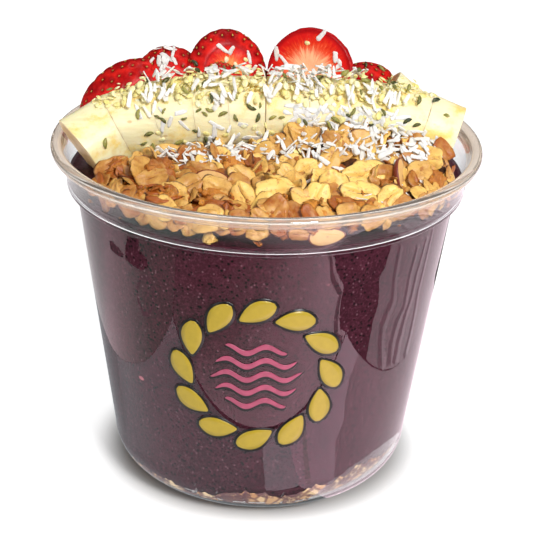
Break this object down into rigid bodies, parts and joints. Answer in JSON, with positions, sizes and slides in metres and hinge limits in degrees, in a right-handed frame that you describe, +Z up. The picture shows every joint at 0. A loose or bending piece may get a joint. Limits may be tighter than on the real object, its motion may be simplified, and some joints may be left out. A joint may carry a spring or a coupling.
{
  "type": "acai bowl",
  "caption": "Clear plastic cup of dark purple acai smoothie over granola, topped with a granola heap, a row of banana slices, strawberry halves, shredded coconut and hemp hearts.",
  "frame": {"origin": "centre of the cup's footprint, on the surface that the cup stands on", "axes": "+Z up along the cup's axis, +X along the row of banana slices, -Y towards the granola heap"},
  "size_m": [0.1168, 0.1168, 0.1223],
  "materials": {
    "clear_plastic": "clear, glossy",
    "acai": "smooth, moist, finely speckled",
    "granola": "dry, toasted",
    "banana": "moist, soft",
    "strawberry": "moist, glossy"
  },
  "bodies": {
    "root": {"cup": "clear_plastic", "granola_base": "granola", "acai": "acai", "banana_1": "banana", "banana_2": "banana", "banana_3": "banana", "banana_4": "banana", "banana_5": "banana", "banana_6": "banana", "banana_7": "banana", "banana_8": "banana", "banana_9": "banana", "banana_10": "banana", "banana_11": "banana", "strawberry_1": "strawberry", "strawberry_2": "strawberry", "strawberry_3": "strawberry", "strawberry_4": "strawberry", "strawberry_5": "strawberry", "strawberry_6": "strawberry", "strawberry_7": "strawberry", "strawberry_8": "strawberry", "strawberry_9": "strawberry", "strawberry_10": "strawberry", "granola_heap": "granola"}
  },
  "joints": []
}
